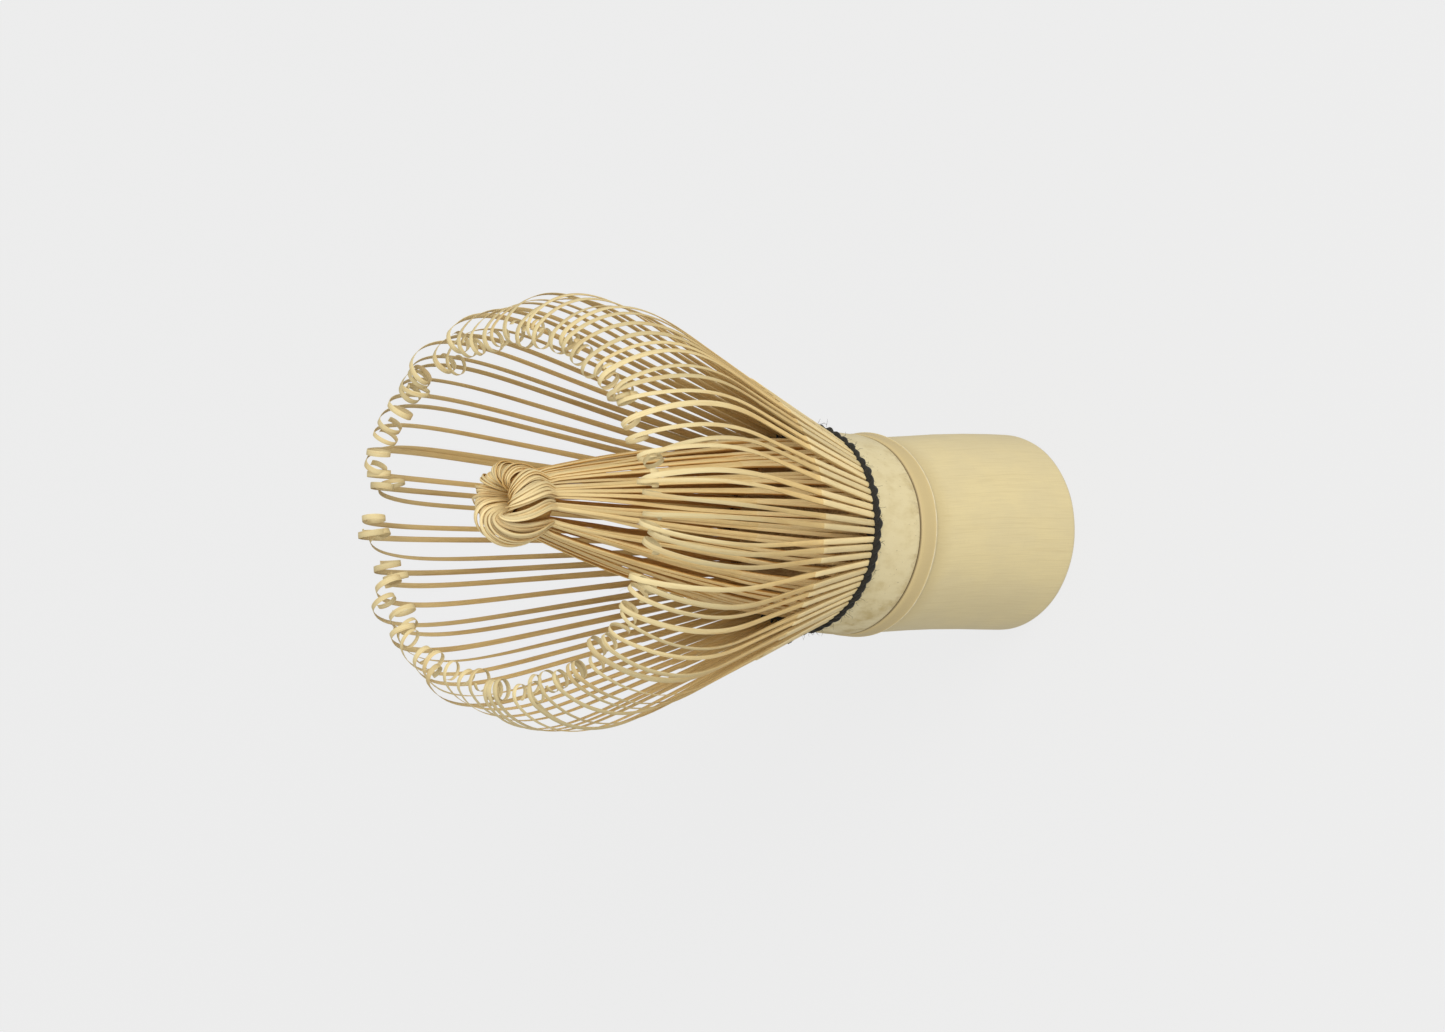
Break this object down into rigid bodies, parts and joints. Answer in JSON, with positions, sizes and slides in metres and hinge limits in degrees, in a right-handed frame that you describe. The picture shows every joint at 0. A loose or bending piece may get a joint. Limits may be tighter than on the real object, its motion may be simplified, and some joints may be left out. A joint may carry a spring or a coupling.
{
  "type": "bamboo tea whisk",
  "caption": "Bamboo matcha whisk: hollow culm handle with a node, a bell of fine curled outer tines, a leaning inner cone of tines ending in a knot, and a black binding thread.",
  "frame": {"origin": "centre of the handle's flat end face, which the whisk stands on", "axes": "+Z along the whisk's axis from the handle's end to the tines' tips; the inner bundle leans a little towards +X and +Y"},
  "size_m": [0.059, 0.059, 0.1017],
  "materials": {
    "bamboo_handle": "smooth pale yellow bamboo skin with fine lengthwise grain, satin",
    "bamboo_outer_tines": "split bamboo, pale skin near the root and honey coloured fibre above it, satin",
    "bamboo_inner_tines": "split bamboo fibre, darker between the strips, satin",
    "black_thread": "twisted black cotton thread, matt with short fuzz"
  },
  "bodies": {
    "handle_body": {"handle": "bamboo_handle", "thread_outer": "black_thread", "thread_inner": "black_thread"},
    "inner_bundle": {"inner_tines_01": "bamboo_inner_tines", "inner_tines_02": "bamboo_inner_tines", "inner_tines_03": "bamboo_inner_tines", "inner_tines_04": "bamboo_inner_tines", "inner_tines_05": "bamboo_inner_tines", "inner_tines_06": "bamboo_inner_tines", "inner_tines_07": "bamboo_inner_tines", "inner_tines_08": "bamboo_inner_tines", "inner_tines_09": "bamboo_inner_tines", "inner_tines_10": "bamboo_inner_tines", "inner_tines_11": "bamboo_inner_tines", "inner_tines_12": "bamboo_inner_tines", "inner_tines_13": "bamboo_inner_tines", "inner_tines_14": "bamboo_inner_tines", "inner_tines_15": "bamboo_inner_tines", "inner_tines_16": "bamboo_inner_tines", "inner_knot": "bamboo_inner_tines"},
    "outer_01": {"outer_tines_01": "bamboo_outer_tines"},
    "outer_02": {"outer_tines_02": "bamboo_outer_tines"},
    "outer_03": {"outer_tines_03": "bamboo_outer_tines"},
    "outer_04": {"outer_tines_04": "bamboo_outer_tines"},
    "outer_05": {"outer_tines_05": "bamboo_outer_tines"},
    "outer_06": {"outer_tines_06": "bamboo_outer_tines"},
    "outer_07": {"outer_tines_07": "bamboo_outer_tines"},
    "outer_08": {"outer_tines_08": "bamboo_outer_tines"},
    "outer_09": {"outer_tines_09": "bamboo_outer_tines"},
    "outer_10": {"outer_tines_10": "bamboo_outer_tines"},
    "outer_11": {"outer_tines_11": "bamboo_outer_tines"},
    "outer_12": {"outer_tines_12": "bamboo_outer_tines"},
    "outer_13": {"outer_tines_13": "bamboo_outer_tines"},
    "outer_14": {"outer_tines_14": "bamboo_outer_tines"},
    "outer_15": {"outer_tines_15": "bamboo_outer_tines"},
    "outer_16": {"outer_tines_16": "bamboo_outer_tines"}
  },
  "joints": [
    {"name": "inner_sway", "type": "hinge", "parent": "handle_body", "child": "inner_bundle", "pos_m": [0, 0, 0.041], "axis": [-0.8222, 0.5692, 0], "range_deg": [-2.5, 2.5], "stiffness_Nm_per_rad": 0.06},
    {"name": "outer_flex_01", "type": "hinge", "parent": "handle_body", "child": "outer_01", "pos_m": [0.014, 0, 0.041], "axis": [0, 1, 0], "range_deg": [-2.5, 6], "stiffness_Nm_per_rad": 0.008},
    {"name": "outer_flex_02", "type": "hinge", "parent": "handle_body", "child": "outer_02", "pos_m": [0.01293, 0.00536, 0.041], "axis": [-0.3827, 0.9239, 0], "range_deg": [-2.5, 6], "stiffness_Nm_per_rad": 0.008},
    {"name": "outer_flex_03", "type": "hinge", "parent": "handle_body", "child": "outer_03", "pos_m": [0.0099, 0.0099, 0.041], "axis": [-0.7071, 0.7071, 0], "range_deg": [-2.5, 6], "stiffness_Nm_per_rad": 0.008},
    {"name": "outer_flex_04", "type": "hinge", "parent": "handle_body", "child": "outer_04", "pos_m": [0.00536, 0.01293, 0.041], "axis": [-0.9239, 0.3827, 0], "range_deg": [-2.5, 6], "stiffness_Nm_per_rad": 0.008},
    {"name": "outer_flex_05", "type": "hinge", "parent": "handle_body", "child": "outer_05", "pos_m": [0, 0.014, 0.041], "axis": [-1, 0, 0], "range_deg": [-2.5, 6], "stiffness_Nm_per_rad": 0.008},
    {"name": "outer_flex_06", "type": "hinge", "parent": "handle_body", "child": "outer_06", "pos_m": [-0.00536, 0.01293, 0.041], "axis": [-0.9239, -0.3827, 0], "range_deg": [-2.5, 6], "stiffness_Nm_per_rad": 0.008},
    {"name": "outer_flex_07", "type": "hinge", "parent": "handle_body", "child": "outer_07", "pos_m": [-0.0099, 0.0099, 0.041], "axis": [-0.7071, -0.7071, 0], "range_deg": [-2.5, 6], "stiffness_Nm_per_rad": 0.008},
    {"name": "outer_flex_08", "type": "hinge", "parent": "handle_body", "child": "outer_08", "pos_m": [-0.01293, 0.00536, 0.041], "axis": [-0.3827, -0.9239, 0], "range_deg": [-2.5, 6], "stiffness_Nm_per_rad": 0.008},
    {"name": "outer_flex_09", "type": "hinge", "parent": "handle_body", "child": "outer_09", "pos_m": [-0.014, 0, 0.041], "axis": [0, -1, 0], "range_deg": [-2.5, 6], "stiffness_Nm_per_rad": 0.008},
    {"name": "outer_flex_10", "type": "hinge", "parent": "handle_body", "child": "outer_10", "pos_m": [-0.01293, -0.00536, 0.041], "axis": [0.3827, -0.9239, 0], "range_deg": [-2.5, 6], "stiffness_Nm_per_rad": 0.008},
    {"name": "outer_flex_11", "type": "hinge", "parent": "handle_body", "child": "outer_11", "pos_m": [-0.0099, -0.0099, 0.041], "axis": [0.7071, -0.7071, 0], "range_deg": [-2.5, 6], "stiffness_Nm_per_rad": 0.008},
    {"name": "outer_flex_12", "type": "hinge", "parent": "handle_body", "child": "outer_12", "pos_m": [-0.00536, -0.01293, 0.041], "axis": [0.9239, -0.3827, 0], "range_deg": [-2.5, 6], "stiffness_Nm_per_rad": 0.008},
    {"name": "outer_flex_13", "type": "hinge", "parent": "handle_body", "child": "outer_13", "pos_m": [0, -0.014, 0.041], "axis": [1, 0, 0], "range_deg": [-2.5, 6], "stiffness_Nm_per_rad": 0.008},
    {"name": "outer_flex_14", "type": "hinge", "parent": "handle_body", "child": "outer_14", "pos_m": [0.00536, -0.01293, 0.041], "axis": [0.9239, 0.3827, 0], "range_deg": [-2.5, 6], "stiffness_Nm_per_rad": 0.008},
    {"name": "outer_flex_15", "type": "hinge", "parent": "handle_body", "child": "outer_15", "pos_m": [0.0099, -0.0099, 0.041], "axis": [0.7071, 0.7071, 0], "range_deg": [-2.5, 6], "stiffness_Nm_per_rad": 0.008},
    {"name": "outer_flex_16", "type": "hinge", "parent": "handle_body", "child": "outer_16", "pos_m": [0.01293, -0.00536, 0.041], "axis": [0.3827, 0.9239, 0], "range_deg": [-2.5, 6], "stiffness_Nm_per_rad": 0.008}
  ]
}
